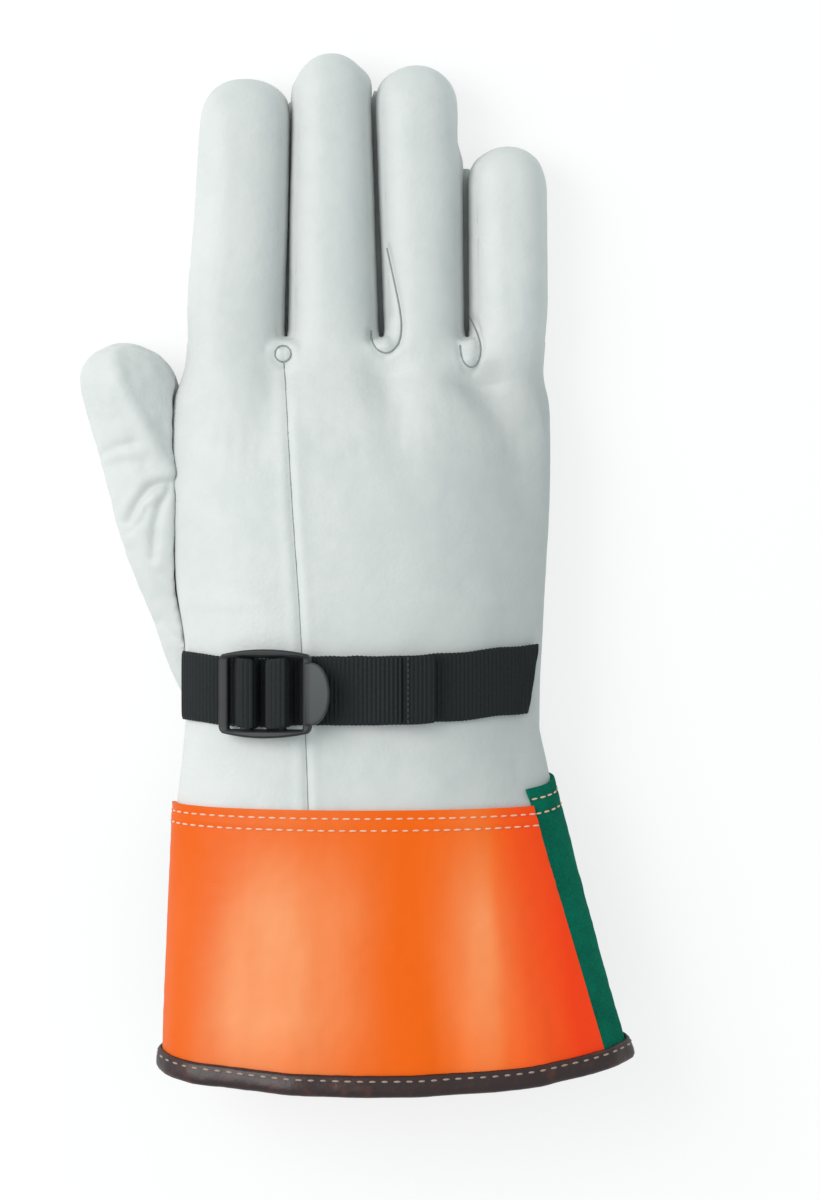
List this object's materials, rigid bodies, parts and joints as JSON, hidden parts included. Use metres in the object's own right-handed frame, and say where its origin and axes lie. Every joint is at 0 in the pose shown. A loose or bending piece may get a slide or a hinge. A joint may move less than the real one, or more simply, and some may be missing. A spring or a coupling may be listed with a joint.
{
  "type": "leather protector glove",
  "caption": "Leather protector glove with a flared gauntlet cuff and a buckled wrist strap, worn over a rubber insulating glove for electrical work.",
  "frame": {"origin": "centre of the glove's bounding box, on the surface that the palm lies on", "axes": "+Y from the cuff to the fingertips, +X to the little finger, +Z out of the back of the hand"},
  "size_m": [0.1617, 0.3043, 0.0533],
  "materials": {
    "glove_leather": "pearl grain goatskin, satin",
    "coated_fabric": "orange vinyl-coated fabric, satin",
    "suede": "green split suede",
    "binding_tape": "dark brown binding",
    "webbing": "black woven webbing",
    "buckle_plastic": "moulded, matt"
  },
  "bodies": {
    "hand": {"back_panel_main": "glove_leather", "back_panel_index_side": "glove_leather", "palm_panel": "glove_leather", "thumb_root": "glove_leather", "fork_tab_index_middle": "glove_leather", "fork_tab_middle_ring": "glove_leather", "fork_tab_ring_little": "glove_leather", "cuff_back_panel": "coated_fabric", "cuff_palm_panel": "suede", "cuff_binding": "binding_tape", "strap_anchor": "webbing", "strap_main": "webbing"},
    "index": {"index_back": "glove_leather", "index_palm": "glove_leather", "index_fourchette_right": "glove_leather"},
    "middle": {"middle_back": "glove_leather", "middle_palm": "glove_leather", "middle_fourchette_left": "glove_leather", "middle_fourchette_right": "glove_leather"},
    "ring": {"ring_back": "glove_leather", "ring_palm": "glove_leather", "ring_fourchette_left": "glove_leather", "ring_fourchette_right": "glove_leather"},
    "little": {"little_back": "glove_leather", "little_palm": "glove_leather", "little_fourchette_left": "glove_leather"},
    "thumb": {"thumb_back": "glove_leather", "thumb_palm": "glove_leather"},
    "buckle": {"buckle_frame": "buckle_plastic", "strap_wrap": "webbing"},
    "tail": {"strap_tail": "webbing", "strap_tail_hem": "webbing"}
  },
  "joints": [
    {"name": "index_flex", "type": "hinge", "parent": "hand", "child": "index", "pos_m": [-0.0362, 0.068, 0], "axis": [-1, 0, 0], "range_deg": [0, 65]},
    {"name": "middle_flex", "type": "hinge", "parent": "hand", "child": "middle", "pos_m": [-0.0066, 0.068, 0], "axis": [-1, 0, 0], "range_deg": [0, 65]},
    {"name": "ring_flex", "type": "hinge", "parent": "hand", "child": "ring", "pos_m": [0.02, 0.068, 0], "axis": [-1, 0, 0], "range_deg": [0, 65]},
    {"name": "little_flex", "type": "hinge", "parent": "hand", "child": "little", "pos_m": [0.0444, 0.068, 0], "axis": [-1, 0, 0], "range_deg": [0, 65]},
    {"name": "thumb_spread", "type": "hinge", "parent": "hand", "child": "thumb", "pos_m": [-0.068, 0.00588, 0.0113], "axis": [0, 0, 1], "range_deg": [0, 30]},
    {"name": "buckle_tilt", "type": "hinge", "parent": "hand", "child": "buckle", "pos_m": [-0.04004, -0.0335, 0.04046], "axis": [0, -1, 0], "range_deg": [0, 45]},
    {"name": "tail_slide", "type": "slide", "parent": "hand", "child": "tail", "axis": [0.9987, 0, 0.0501], "range_m": [-0.002, 0.01]}
  ]
}
